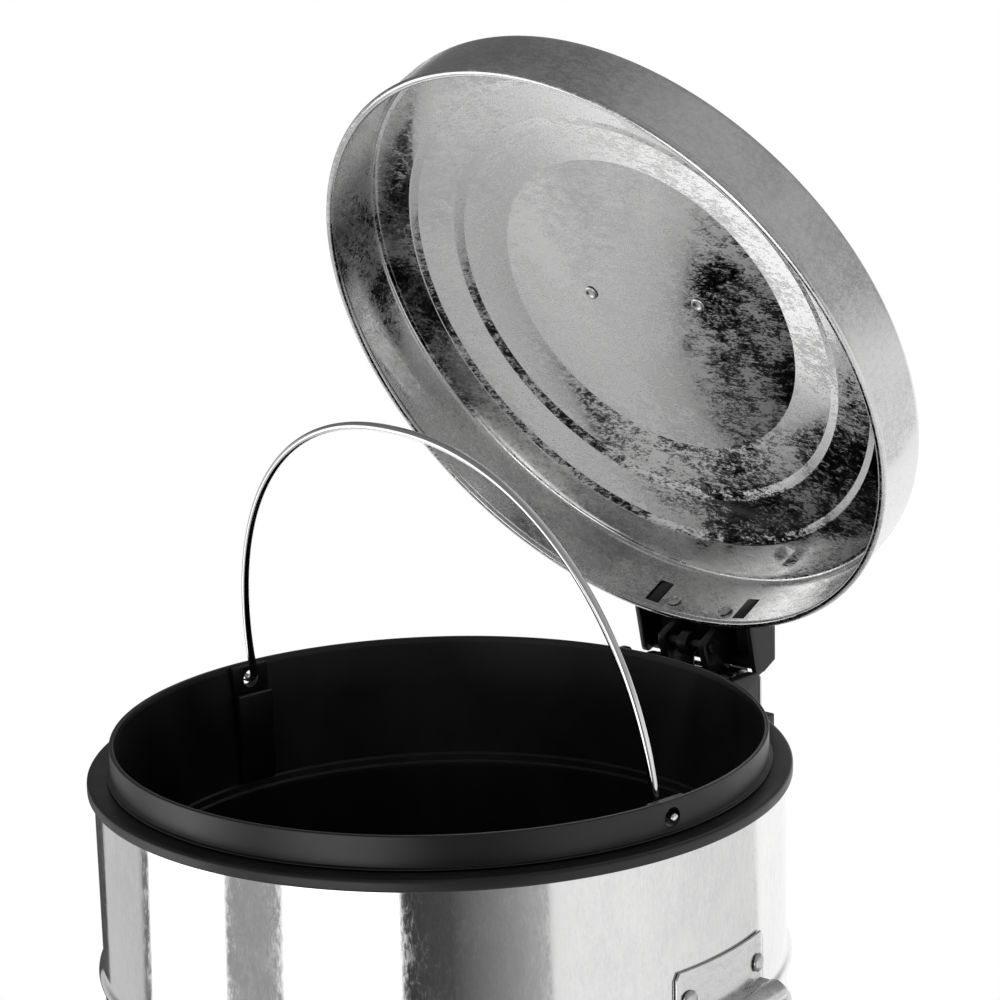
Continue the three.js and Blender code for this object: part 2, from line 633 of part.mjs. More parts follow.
for (const [side, turn] of [['right', plate.turn], ['left', plate.turn + 180]]) {
  const group = new THREE.Group();
  group.rotation.z = radians(turn);
  can.add(group);
  place(group, `handle_plate_${side}`, handlePlate(), galvanised);
  for (const [end, s] of [['front', -1], ['rear', 1]]) {
    const a = radians(s * plate.rivetSpan);
    const r = body.radius + 2 * gap + 1.25;
    const head = place(group, `plate_rivet_${side}_${end}`, rivet(3.8, 1.9, 1.5, 0.2), zincPlate);
    head.position.set(r * Math.cos(a), r * Math.sin(a), below(plate.rivetDrop));
    head.rotation.set(0, Math.PI / 2, a, 'ZYX');
  }
  const handle = place(group, `drop_handle_${side}`, wire(gripPath(), grip.wire, 8, 44), brightSteel);
  handle.position.set(tube.out, 0, below(tube.drop));
}

// The origin is the middle of the floor rectangle that the open can fills.
can.updateMatrixWorld(true);
const box = new THREE.Box3().setFromObject(can, true);
assembly.position.set(-(box.min.x + box.max.x) / 2, -(box.min.y + box.max.y) / 2, -box.min.z);

export default assembly;
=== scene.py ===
"""Oily waste can: fine pieces, materials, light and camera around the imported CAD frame."""
import math

import bmesh
import bpy
from mathutils import Matrix, Vector


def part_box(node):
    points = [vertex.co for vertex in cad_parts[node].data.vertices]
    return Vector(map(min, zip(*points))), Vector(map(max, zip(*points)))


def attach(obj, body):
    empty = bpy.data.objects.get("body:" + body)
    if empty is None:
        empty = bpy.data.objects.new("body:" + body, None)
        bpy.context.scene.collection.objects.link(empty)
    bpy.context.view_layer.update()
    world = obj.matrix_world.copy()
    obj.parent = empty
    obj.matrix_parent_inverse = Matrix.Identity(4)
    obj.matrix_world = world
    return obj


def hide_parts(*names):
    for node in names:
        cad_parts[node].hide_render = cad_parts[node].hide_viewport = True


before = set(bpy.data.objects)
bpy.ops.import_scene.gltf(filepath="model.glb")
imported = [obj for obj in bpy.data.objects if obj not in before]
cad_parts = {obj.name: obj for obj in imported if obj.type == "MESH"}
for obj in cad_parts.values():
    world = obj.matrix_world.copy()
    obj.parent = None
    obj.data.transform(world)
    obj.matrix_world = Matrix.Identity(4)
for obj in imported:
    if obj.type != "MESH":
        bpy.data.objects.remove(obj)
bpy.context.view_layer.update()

MM = 0.001  # shapes are drawn in millimetres and kept in metres
ROUND = 256  # segments of the large round pieces
GAP = 0.35  # room between pieces that touch

# ------------------------------------------------------------------ where things are

body_low, body_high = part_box("outer_body")
SHIFT_Y = (body_low.y + body_high.y) / 2 / MM  # the can's axis, along Y
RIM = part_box("inner_bucket")[1].z / MM  # top of the bucket's collar
LID_OPEN = 62.9  # degrees
HINGE_DROP = 18.3  # the hinge pin below the rim
HINGE_Y, HINGE_Z = 170.5, RIM - HINGE_DROP
BAIL_DROP, BAIL_LEAN = 7, 8.4  # the bail's pivots below the rim, and its lean to the back in degrees
BUCKET_TURN, HANDLE_TURN = -5.5, 3.3  # degrees about the can's axis
PIVOT_Y, PIVOT_Z, PEDAL_TILT = 63, 34, 4.4  # the pedal's pivot, and its tilt when it is pressed
ROD_PIN_Y, ROD_PIN_DROP, ROD_TILT = 152, 17.3, -1.76
TUBE_X, TUBE_DROP = 149.2, 90  # the tube that holds a side handle


def below(drop):
    return RIM - drop


def move(x, y, z):
    return Matrix.Translation((x * MM, y * MM, z * MM))


def turn(degrees, axis):
    return Matrix.Rotation(math.radians(degrees), 4, axis)


CAN = move(0, SHIFT_Y, 0)
BUCKET = CAN @ turn(BUCKET_TURN, "Z")
BAIL = BUCKET @ move(0, 0, below(BAIL_DROP)) @ turn(BAIL_LEAN, "X")
LID = CAN @ move(0, HINGE_Y, HINGE_Z) @ turn(-LID_OPEN, "X") @ move(0, -HINGE_Y, -HINGE_Z)
PEDAL = CAN @ move(0, PIVOT_Y, PIVOT_Z) @ turn(PEDAL_TILT, "X")
HANDLES = {"right": CAN @ turn(HANDLE_TURN, "Z"), "left": CAN @ turn(180 + HANDLE_TURN, "Z")}
swing = math.radians(LID_OPEN)
pin_dy, pin_dz = ROD_PIN_Y - HINGE_Y, HINGE_DROP - ROD_PIN_DROP
ROD = (
    CAN
    @ move(
        0,
        HINGE_Y + pin_dy * math.cos(swing) + pin_dz * math.sin(swing),
        HINGE_Z - pin_dy * math.sin(swing) + pin_dz * math.cos(swing),
    )
    @ turn(ROD_TILT, "X")
)

# ------------------------------------------------------------------ mesh helpers


def new_object(name, verts, faces):
    mesh = bpy.data.meshes.new(name)
    mesh.from_pydata([(x * MM, y * MM, z * MM) for x, y, z in verts], [], faces)
    bm = bmesh.new()
    bm.from_mesh(mesh)
    bmesh.ops.remove_doubles(bm, verts=bm.verts, dist=1e-7)
    bmesh.ops.recalc_face_normals(bm, faces=bm.faces)
    bm.to_mesh(mesh)
    bm.free()
    obj = bpy.data.objects.new(name, mesh)
    bpy.context.scene.collection.objects.link(obj)
    return obj


def revolve(name, profile, segments=ROUND):
    """A closed profile of (radius, height) turned about Z; its ends may lie on the axis."""
    verts, faces = [], []
    count = len(profile)
    for i in range(segments):
        a = 2 * math.pi * i / segments
        c, s = math.cos(a), math.sin(a)
        verts += [(r * c, r * s, z) for r, z in profile]
    on_axis = profile[0][0] < 1e-6 and profile[-1][0] < 1e-6
    for i in range(segments):
        j = (i + 1) % segments
        for k in range(count - 1 if on_axis else count):
            m = (k + 1) % count
            a, b, c, d = i * count + k, i * count + m, j * count + m, j * count + k
            if profile[k][0] < 1e-6:
                faces.append((a, b, c))
            elif profile[m][0] < 1e-6:
                faces.append((a, b, d))
            else:
                faces.append((a, b, c, d))
    return new_object(name, verts, faces)


def prism(name, outline, low, high, axis="x"):
    """An outline extruded along an axis: (y, z) along x, (x, z) along y, or (x, y) along z."""
    place3 = {
        "x": lambda u, v, w: (w, u, v),
        "y": lambda u, v, w: (u, w, v),
        "z": lambda u, v, w: (u, v, w),
    }[axis]
    n = len(outline)
    verts = [place3(u, v, low) for u, v in outline] + [place3(u, v, high) for u, v in outline]
    faces = [tuple(range(n)), tuple(range(2 * n - 1, n - 1, -1))]
    faces += [(i, (i + 1) % n, n + (i + 1) % n, n + i) for i in range(n)]
    return new_object(name, verts, faces)


def slab(x0, x1, y0, y1, z0, z1):
    return prism("tool", [(x0, y0), (x1, y0), (x1, y1), (x0, y1)], z0, z1, "z")


def drum(radius, z0, z1, segments=ROUND):
    return revolve("tool", [(0, z0), (radius, z0), (radius, z1), (0, z1)], segments)


def circle(u, v, radius, count):
    return [
        (u + radius * math.cos(2 * math.pi * i / count), v + radius * math.sin(2 * math.pi * i / count))
        for i in range(count)
    ]


def bar_x(name, radius, x0, x1, y, z, count=48):
    return prism(name, circle(y, z, radius, count), x0, x1, "x")


def arc(cx, cy, radius, start, end, count):
    return [
        (
            cx + radius * math.cos(math.radians(start + (end - start) * i / count)),
            cy + radius * math.sin(math.radians(start + (end - start) * i / count)),
        )
        for i in range(count + 1)
    ]


def rounded(points, steps=4, closed=True):
    """Rounds the corners of an outline. A point is (u, v) or (u, v, radius)."""
    out = []
    n = len(points)
    for i, p in enumerate(points):
        radius = p[2] if len(p) > 2 else 0
        here = Vector(p[:2])
        if radius <= 0 or (not closed and i in (0, n - 1)):
            out.append(tuple(here))
            continue
        to_a = Vector(points[i - 1][:2]) - here
        to_b = Vector(points[(i + 1) % n][:2]) - here
        length_a, length_b = to_a.length, to_b.length
        to_a.normalize()
        to_b.normalize()
        half = math.acos(max(-1, min(1, to_a.dot(to_b)))) / 2
        if abs(half - math.pi / 2) < 0.01:
            out.append(tuple(here))
            continue
        reach = min(radius / math.tan(half), 0.48 * length_a, 0.48 * length_b)
        a, b = here + to_a * reach, here + to_b * reach
        for k in range(steps + 1):
            t = k / steps
            out.append(tuple((1 - t) ** 2 * a + 2 * t * (1 - t) * here + t * t * b))
    return out


def sweep(name, path, radius, sides=24):
    """Round wire along a path of points in millimetres, with slightly rounded ends."""
    points = [Vector(p) for p in path]
    n = len(points)
    tangents = [(points[min(i + 1, n - 1)] - points[max(i - 1, 0)]).normalized() for i in range(n)]
    start = Vector((0, 0, 1)) if abs(tangents[0].z) < 0.9 else Vector((1, 0, 0))
    normal = (start - tangents[0] * start.dot(tangents[0])).normalized()
    stations = []
    ease = radius * 0.25
    for i, (p, t) in enumerate(zip(points, tangents)):
        normal = (normal - t * normal.dot(t)).normalized()
        if i == 0:
            stations.append((p, normal.copy(), t, radius - ease))
            p = p + t * ease
        if i == n - 1:
            stations.append((p - t * ease, normal.copy(), t, radius))
            stations.append((p, normal.copy(), t, radius - ease))
        else:
            stations.append((p, normal.copy(), t, radius))
    verts, faces = [], []
    for p, nrm, t, r in stations:
        side = t.cross(nrm)
        for k in range(sides):
            a = 2 * math.pi * k / sides
            verts.append(tuple(p + (nrm * math.cos(a) + side * math.sin(a)) * r))
    m = len(stations)
    for i in range(m - 1):
        for k in range(sides):
            k2 = (k + 1) % sides
            faces.append((i * sides + k, i * sides + k2, (i + 1) * sides + k2, (i + 1) * sides + k))
    faces.append(tuple(range(sides - 1, -1, -1)))
    faces.append(tuple(range((m - 1) * sides, m * sides)))
    return new_object(name, verts, faces)


def apply_modifiers(obj):
    graph = bpy.context.evaluated_depsgraph_get()
    mesh = bpy.data.meshes.new_from_object(obj.evaluated_get(graph))
    obj.modifiers.clear()
    old = obj.data
    obj.data = mesh
    bpy.data.meshes.remove(old)


def combine(obj, tools, operation):
    for tool in tools:
        mod = obj.modifiers.new("combine", "BOOLEAN")
        mod.operation = operation
        mod.solver = "EXACT"
        mod.object = tool
    apply_modifiers(obj)
    for tool in tools:
        bpy.data.objects.remove(tool, do_unlink=True)
    return obj


def join(obj, *tools):
    return combine(obj, tools, "UNION")


def cut(obj, *tools):
    return combine(obj, tools, "DIFFERENCE")


def ease_edges(obj, width, segments=3, angle=40):
    mod = obj.modifiers.new("ease", "BEVEL")
    mod.width = width * MM
    mod.segments = segments
    mod.limit_method = "ANGLE"
    mod.angle_limit = math.radians(angle)
    mod.use_clamp_overlap = True
    apply_modifiers(obj)
    return obj


# ------------------------------------------------------------------ materials


class Graph:
    """A small helper around one material's node tree."""

    def __init__(self, name):
        self.material = bpy.data.materials.new(name)
        self.material.use_nodes = True
        self.tree = self.material.node_tree
        self.shader = self.tree.nodes["Principled BSDF"]
        self.coords = self.add("ShaderNodeTexCoord").outputs["Object"]

    def add(self, kind, **settings):
        node = self.tree.nodes.new(kind)
        for key, value in settings.items():
            setattr(node, key, value)
        return node

    def link(self, a, b):
        self.tree.links.new(a, b)

    def scaled(self, stretch):
        node = self.add("ShaderNodeMapping")
        node.inputs["Scale"].default_value = stretch
        self.link(self.coords, node.inputs["Vector"])
        return node.outputs["Vector"]

    def noise(self, scale, detail=3.0, rough=0.55, stretch=(1, 1, 1), distort=0.0):
        node = self.add("ShaderNodeTexNoise")
        node.inputs["Scale"].default_value = scale
        node.inputs["Detail"].default_value = detail
        node.inputs["Roughness"].default_value = rough
        node.inputs["Distortion"].default_value = distort
        self.link(self.scaled(stretch), node.inputs["Vector"])
        return node.outputs["Fac"]

    def levels(self, value, low, high, out_low=0.0, out_high=1.0):
        node = self.add("ShaderNodeMapRange")
        for key, number in zip(
            ("From Min", "From Max", "To Min", "To Max"), (low, high, out_low, out_high)
        ):
            node.inputs[key].default_value = number
        self.link(value, node.inputs["Value"])
        return node.outputs["Result"]

    def math(self, operation, a, b):
        node = self.add("ShaderNodeMath", operation=operation)
        for socket, value in zip(node.inputs, (a, b)):
            if isinstance(value, (int, float)):
                socket.default_value = value
            else:
                self.link(value, socket)
        return node.outputs["Value"]

    def tone(self, value, dark, light):
        node = self.add("ShaderNodeMix", data_type="RGBA")
        node.inputs["A"].default_value = (*dark, 1)
        node.inputs["B"].default_value = (*light, 1)
        self.link(value, node.inputs["Factor"])
        return node.outputs["Result"]

    def bump(self, height, strength, distance, under=None):
        node = self.add("ShaderNodeBump")
        node.inputs["Strength"].default_value = strength
        node.inputs["Distance"].default_value = distance
        self.link(height, node.inputs["Height"])
        if under is not None:
            self.link(under, node.inputs["Normal"])
        return node.outputs["Normal"]

    def finish(self, color=None, rough=None, normal=None, metallic=0.0):
        self.shader.inputs["Metallic"].default_value = metallic
        for key, value in (("Base Color", color), ("Roughness", rough), ("Normal", normal)):
            if value is not None:
                self.link(value, self.shader.inputs[key])
        return self.material


def grey(value, warm=0.0):
    return (value * (1 + warm), value, value * (1 - warm))


def galvanised(name, stretch, mirror=0.08, matt=0.5, speckle=0.5, wave=0.2, dull=0.6):
    """Hot-dipped sheet: near-mirror zinc broken by fine matt grains drawn out along the rolling."""
    g = Graph(name)
    fine = g.noise(1250, 3, 0.7, stretch, 0.2)
    grain = g.noise(420, 3, 0.62, stretch, 0.4)
    cloud = g.noise(26, 4, 0.62, (1, 1, 1), 0.4)
    drift = g.noise(6, 2, 0.5)
    mix = g.math("ADD", g.math("MULTIPLY", fine, 0.55), g.math("MULTIPLY", grain, 0.45))
    cloudy = g.levels(cloud, 0.35, 0.68, -0.10, 0.10)
    spots = g.levels(g.math("ADD", mix, cloudy), 0.41, 0.59)
    amount = g.math("MULTIPLY", spots, speckle)
    rough = g.levels(amount, 0.0, 1.0, mirror, matt)
    tint = g.tone(g.levels(g.math("ADD", mix, cloudy), 0.34, 0.62), grey(dull), grey(0.82, 0.004))
    low = g.bump(drift, wave, 0.0012)
    mid = g.bump(cloud, 0.05, 0.0003, low)
    top = g.bump(mix, 0.25, 0.00002, mid)
    return g.finish(tint, rough, top, metallic=1.0)


def bright_wire(name):
    g = Graph(name)
    lines = g.noise(900, 3, 0.6, (1, 1, 0.25))
    cloud = g.noise(60, 3, 0.6)
    tint = g.tone(g.levels(cloud, 0.3, 0.7), grey(0.74), grey(0.86))
    mix = g.math("ADD", g.math("MULTIPLY", lines, 0.5), g.math("MULTIPLY", cloud, 0.5))
    rough = g.levels(mix, 0.3, 0.7, 0.06, 0.2)
    return g.finish(tint, rough, g.bump(lines, 0.12, 0.00002), metallic=1.0)


def zinc_plate(name):
    g = Graph(name)
    fine = g.noise(800, 4, 0.65)
    cloud = g.noise(90, 3, 0.6)
    tint = g.tone(g.levels(cloud, 0.3, 0.7), grey(0.5), grey(0.72, 0.01))
    rough = g.levels(fine, 0.3, 0.7, 0.2, 0.42)
    return g.finish(tint, rough, g.bump(fine, 0.2, 0.00004), metallic=1.0)


def black_plastic(name, low=0.3, high=0.46):
    """Moulded black polyethylene: a fine mould grain, soft sheen patches and a few pale scuffs."""
    g = Graph(name)
    grain = g.noise(1500, 2, 0.6)
    patch = g.noise(22, 4, 0.6, (1, 1, 0.6), 0.5)
    flow = g.noise(8, 2, 0.5)
    scuff = g.levels(g.noise(70, 6, 0.72, (1, 1, 0.35), 1.6), 0.66, 0.74)
    dark = g.tone(g.levels(patch, 0.3, 0.7), grey(0.0025), grey(0.006))
    worn = g.add("ShaderNodeMix", data_type="RGBA")
    worn.inputs["B"].default_value = (*grey(0.03), 1)
    g.link(g.math("MULTIPLY", scuff, 0.35), worn.inputs["Factor"])
    g.link(dark, worn.inputs["A"])
    mix = g.math("ADD", g.math("MULTIPLY", patch, 0.7), g.math("MULTIPLY", grain, 0.3))
    rough = g.levels(mix, 0.35, 0.65, low, high)
    normal = g.bump(grain, 0.16, 0.00004, g.bump(flow, 0.25, 0.0006))
    return g.finish(worn.outputs["Result"], rough, normal)


def black_rubber(name):
    g = Graph(name)
    grain = g.noise(1100, 4, 0.7)
    dust = g.noise(45, 4, 0.65)
    tint = g.tone(g.levels(dust, 0.4, 0.75), grey(0.012), grey(0.035, 0.03))
    return g.finish(tint, g.levels(grain, 0.3, 0.7, 0.62, 0.9), g.bump(grain, 0.4, 0.00008))


STEEL_BODY = galvanised(
    "galvanised_rolled_upright", (1, 1, 0.35), mirror=0.04, matt=0.3, speckle=0.42, dull=0.72,
)
STEEL_LID = galvanised("galvanised_rolled_across", (0.4, 1, 1), mirror=0.06, speckle=0.72, wave=0.1)
STEEL_PART = galvanised("galvanised_plain", (1, 0.5, 1), mirror=0.14, speckle=0.6, wave=0.1)
WIRE = bright_wire("bright_wire")
ZINC = zinc_plate("zinc_plate")
PLASTIC = black_plastic("black_plastic")
RUBBER = black_rubber("black_rubber")


def piece(obj, name, body, place, material, smooth=32):
    """Puts a finished shape in its place on its body, instead of the CAD node of the same name."""
    obj.name = obj.data.name = "fine_" + name
    obj.data.materials.clear()
    obj.data.materials.append(material)
    for polygon in obj.data.polygons:
        polygon.use_smooth = True
        polygon.material_index = 0
    obj.data.set_sharp_from_angle(angle=math.radians(smooth))
    obj.matrix_world = place
    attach(obj, body)
    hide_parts(name)


# ------------------------------------------------------------------ the steel can

BODY_R, SHEET = 143, 0.9
BEADS = (96.5, 296)


def bead_line(radius):
    """The sheet's upright line with its two rolled beads."""
    line = [(radius, 60)]
    for drop in reversed(BEADS):
        for k in range(17):
            t = -1 + k / 8
            line.append((radius + 1.1 * (1 + math.cos(math.pi * t)), below(drop) + 4.5 * t))
    line.append((radius, below(16.4)))
    return line


body = revolve("body", bead_line(BODY_R) + bead_line(BODY_R - SHEET)[::-1])
piece(body, "outer_body", "can", CAN, STEEL_BODY)

PAN_Z, PAN_T = 70, 1.2
pan_r = BODY_R - SHEET - GAP
pan = revolve("pan", rounded([
    (0, PAN_Z), (pan_r, PAN_Z, 2.4), (pan_r, 62), (pan_r - PAN_T, 62), (pan_r - PAN_T, PAN_Z - PAN_T, 1.2),
    (0, PAN_Z - PAN_T),
]))
piece(pan, "bottom_pan", "can", CAN, STEEL_PART)

BASE_R = 147.5
hoop = revolve("hoop", rounded([
    (BASE_R, 5, 1.2), (BASE_R, 64, 1.5), (BASE_R - 1.4, 66, 1), (143.35, 66, 0.4), (143.35, 59.65),
    (139, 59.65), (139, 9, 3), (BASE_R - 19, 9, 0.6), (BASE_R - 19, 5, 0.6),
]))
housing = ease_edges(prism("housing", rounded([
    (-34.7, 136), (34.7, 136), (34.7, 183, 5), (-34.7, 183, 5),
], 6), 5.1, 65.9, "z"), 0.9)
cut(housing, drum(BASE_R - 2, 0, 90), slab(-30.7, 30.7, 100, 179, 0, 90))
join(hoop, housing)
cut(
    hoop,
    slab(-13, 13, -160, -120, 10, 62),
    slab(-13, 13, 120, 160, 0, 62),
    slab(-7, 7, 143.2, 160, 55, 70),
)
piece(hoop, "base_ring", "can", CAN, PLASTIC)

for i, side in enumerate(("front_right", "rear_right", "rear_left", "front_left")):
    a = math.radians(-45 + 90 * i)
    foot = revolve("foot", rounded([(0, 0), (8, 0, 1.6), (8, 4.65, 0.4), (0, 4.65)]), 64)
    piece(foot, "foot_" + side, "can", CAN @ move(138 * math.cos(a), 138 * math.sin(a), 0), RUBBER)

# ------------------------------------------------------------------ the top ring and its hinge block

RING_TOP = below(13.6)
ring = revolve("ring", rounded([
    (134.6, RING_TOP, 0.5), (145.7, RING_TOP, 1.5), (145.7, below(18.5), 0.9), (143.5, below(18.5)),
    (143.5, below(16.05)), (141.7, below(16.05)), (141.7, below(30)), (139, below(30)),
    (139, RING_TOP - 3.4, 1), (134.6, RING_TOP - 3.4, 0.5),
]))
block_bottom, block_floor = below(38), below(31)
block = ease_edges(prism("block", [
    (128, block_bottom), (177.5, block_bottom), (177.5, block_floor), (128, block_floor),
], -38.3, 38.3), 0.8)
parts = [slab(-29.5, 29.5, 128.2, 145.9, block_floor - 1, RING_TOP - 0.1)]
for s in (-1, 1):
    a, b = sorted((s * 38.3, s * 34.8))
    parts.append(ease_edges(prism("flank", rounded([
        (128.1, block_floor - 1), (165, block_floor - 1), (165, below(9), 4), (128.1, below(9)),
    ], 6), a, b), 0.6))
    c, d = sorted((s * 26.5, s * 30))
    parts.append(ease_edges(prism("cheek", rounded([
        (128.3, block_floor - 1), (177.45, block_floor - 1),
        (177.45, below(12.3), 6.5), (128.3, below(12.3)),
    ], 8), c, d), 0.6))
    parts.append(slab(*sorted((s * 14, s * 23)), 175, 177.4, block_floor - 1, below(12.6)))
join(block, *parts)
cut(
    block,
    drum(143.62, block_bottom - 5, below(15.97), 240),
    drum(147.2, RING_TOP - 0.1, RIM + 5, 240),
    drum(142.7, block_bottom - 5, RIM + 5, 240),
    bar_x("tool", 4.3, -35, 35, HINGE_Y, HINGE_Z),
    slab(-9, 9, 146.8, 172, block_bottom - 5, block_floor + 5),
)
join(ring, block)
piece(ring, "top_ring", "can", CAN, PLASTIC)

pin = ease_edges(bar_x("pin", 4, -30.5, 30.5, HINGE_Y, HINGE_Z, 64), 0.5)
piece(pin, "hinge_pin", "can", CAN, WIRE)
for side, x in (("left", -24.6), ("right", 23.4)):
    clip = bar_x("clip", 6.6, x, x + 1.2, HINGE_Y, HINGE_Z, 64)
    cut(clip, bar_x("tool", 4.35, x - 1, x + 3, HINGE_Y, HINGE_Z, 64),
        slab(x - 1, x + 3, HINGE_Y - 2.6, HINGE_Y + 2.6, HINGE_Z - 12, HINGE_Z))
    piece(clip, "pin_clip_" + side, "can", CAN, ZINC)

# ------------------------------------------------------------------ the rear cover of the push rod

COVER_HALF, COVER_BACK, COVER_T = 31.7, 180, 1.2


def cover_line(radius, half, back, bend):
    """The cover's plan line: a flange on the can at each end of a three-sided channel."""
    reach = math.degrees(math.acos(43.7 / radius))
    near = math.degrees(math.acos(half / radius))
    right = arc(0, 0, radius, reach, near, 10)
    left = [(-x, y) for x, y in reversed(right)]
    corner = (half, back, bend), (-half, back, bend)
    return rounded([*right[:-1], (*right[-1], 2.0), *corner, (*left[0], 2.0), *left[1:]], 6, closed=False)


outer = cover_line(144.55, COVER_HALF, COVER_BACK, 3.4)
inner = cover_line(143.35, COVER_HALF - COVER_T, COVER_BACK - COVER_T, 2.2)
rear = prism("cover", outer + inner[::-1], 66.35, below(38.35), "z")
tongue = ease_edges(prism("tongue", rounded([
    (-29, below(40)), (29, below(40)), (29, below(15), 3), (-29, below(15), 3),
], 6), COVER_BACK - COVER_T, COVER_BACK, "y"), 0.3)
join(rear, tongue)
cut(rear, drum(143.25, 60, 390), *[
    revolve("tool", [(140, below(d) - 5), (146, below(d) - 5), (146, below(d) + 5), (140, below(d) + 5)])
    for d in BEADS
])
piece(rear, "rod_cover", "can", CAN, STEEL_BODY)


def dome_line(radius, height):
    """The outer line of a rivet's head, from its rim to just before its middle."""
    turns = [math.pi / 2 * k / 10 for k in range(10)]
    return [(radius * math.cos(t), height * (0.12 + 0.88 * math.sin(t))) for t in turns]


def rivet(head, dome, shank=1.5, depth=0.2):
    """A domed rivet along +Z whose head rests on z = 0."""
    return revolve("rivet", [
        (0, -depth), (shank, -depth), (shank, 0), (head - 0.15, 0), *dome_line(head, dome), (0, dome),
    ], 48)


for name, x, drop in (("upper_right", 38, 70), ("upper_left", -38, 70),
                      ("lower_right", 38, 270), ("lower_left", -38, 270)):
    r = BODY_R + 0.7 + COVER_T + 0.15
    a = math.degrees(math.asin(x / r))
    spot = CAN @ turn(-a, "Z") @ move(0, r, below(drop)) @ turn(-90, "X")
    piece(rivet(3.4, 1.6), "cover_rivet_" + name, "can", spot, ZINC)

# ------------------------------------------------------------------ the bucket and its bail

bucket = revolve("bucket", rounded([
    (0, 76), (119.5, 76, 3), (122, 79, 3), (129, below(59), 1.5), (131.6, below(56), 1.5),
    (133.4, below(20)), (134, below(13.1)), (137.4, below(13.1), 0.3), (137.4, below(12.6), 0.3),
    (136, below(12.2), 0.3), (136, RIM, 0.6), (134.2, RIM, 0.6), (133.7, below(2.5), 1),
    (132.4, below(14), 6), (131.3, below(24)), (129.6, below(54.2), 0.35), (128.5, below(54.6), 0.35),
    (128.2, below(57.6), 0.35), (127.1, below(58), 0.35), (126.9, below(60), 1),
    (119.9, 81, 3), (117.4, 78.6, 3), (0, 78.6),
]))
ears, holes = [], []
for s in (-1, 1):
    for r0, r1, z0, z1, soft in ((130.8, 135, 13, 0.7, 0.5), (127.2, 130.8, 54, 13, 0.9)):
        a, b = sorted((s * r0, s * r1))
        ears.append(ease_edges(slab(a, b, -9.5, 9.5, below(z0), below(z1)), soft))
    a, b = sorted((s * 126, s * 142))
    holes.append(bar_x("tool", 4, a, b, 0, below(7)))
join(bucket, *ears)
cut(bucket, *holes)
piece(bucket, "inner_bucket", "can", BUCKET, PLASTIC)


def spline(points, count):
    """Points spread evenly on a centripetal Catmull-Rom curve through the given ones."""
    pts = [Vector(p) for p in points]
    pts = [pts[0] * 2 - pts[1], *pts, pts[-1] * 2 - pts[-2]]
    dense = []
    for p in zip(pts, pts[1:], pts[2:], pts[3:]):
        k = [0.0]
        for a, b in zip(p, p[1:]):
            k.append(k[-1] + (b - a).length ** 0.5)
        for step in range(12):
            t = k[1] + (k[2] - k[1]) * step / 12
            level = list(p)
            for width, ends in ((1, ((0, 1), (1, 2), (2, 3))), (2, ((0, 2), (1, 3))), (3, ((1, 2),))):
                level = [
                    level[j] * ((k[b] - t) / (k[b] - k[a])) + level[j + 1] * ((t - k[a]) / (k[b] - k[a]))
                    for j, (a, b) in enumerate(ends)
                ]
            dense.append(level[0])
    dense.append(pts[-2])
    lengths = [0.0]
    for a, b in zip(dense, dense[1:]):
        lengths.append(lengths[-1] + (b - a).length)
    out, j = [], 0
    for i in range(count + 1):
        want = lengths[-1] * i / count
        while j < len(lengths) - 2 and lengths[j + 1] < want:
            j += 1
        span = max(lengths[j + 1] - lengths[j], 1e-9)
        out.append(dense[j].lerp(dense[j + 1], min(1, (want - lengths[j]) / span)))
    return out


bow = []
for i in range(1, 40):
    a = math.pi * i / 40
    c, s = math.cos(a), math.sin(a)
    x = 127.8 * math.copysign(abs(c) ** (2 / 2.21), c)
    z = 136 * s ** (2 / 2.21)
    if z > 9:
        bow.append((x, 0, z))
stub = [(137.6, 0, 0), (134.6, 0, 0), (132, 0, 0), (129.6, 0, 0.8), (128, 0, 3.2)]
path = [*stub, *bow, *[(-x, y, z) for x, y, z in reversed(stub)]]
piece(sweep("bail", spline(path, 260), 1.75, 20), "bail", "bail", BAIL, WIRE, smooth=50)

# ------------------------------------------------------------------ the lid

LID_Z = below(9.8)  # the lid's rolled edge when it is closed
LID_T = 0.9
LID_RISE = 42.2
SKIRT = 144
STUD_X, STUD_Y = 30.3, -5  # the lid handle's rivets
BRACKET_X, BRACKET_RISE = 15, 7.3  # the hinge bracket's rivets


def lid_top(offset, inset):
    """The pressed top's line from the skirt to the centre, offset inwards for its underside."""
    rows = [
        (SKIRT - offset, 14, 0), (SKIRT - offset, 30.9 - offset, 4.2 - inset),
        (122.4, 30.9 - offset, 2.2),
        (118.8, 32.6 - offset, 1.8), (101.1, 36.0 - offset, 2.0), (96.6, 37.6 - offset, 2.0),
        (79, 41.5 - offset, 1.8), (76, LID_RISE - offset, 1.2), (0, LID_RISE - offset, 0),
    ]
    return [(r, LID_Z + h) for r, h in rounded(rows, 5, closed=False)]


bead = [(r, LID_Z + h) for r, h in arc(145.7 - 1.8, 0, 1.8, 75, -195, 26)]
profile = [(SKIRT - LID_T, LID_Z + 1.6), *lid_top(LID_T, 0.6), *lid_top(0, 0)[::-1], *bead]
lid = revolve("lid", profile, 320)


def radial_peg(radius, x, r0, r1, z, count=32):
    a = math.asin(x / SKIRT)
    peg = prism("tool", circle(0, 0, radius, count), r0, r1, "y")
    peg.data.transform(turn(-math.degrees(a), "Z"))
    peg.data.transform(move(0, 0, z))
    return peg


def post(radius, z0, z1, x, y, count=32):
    return prism("tool", circle(x, y, radius, count), z0, z1, "z")


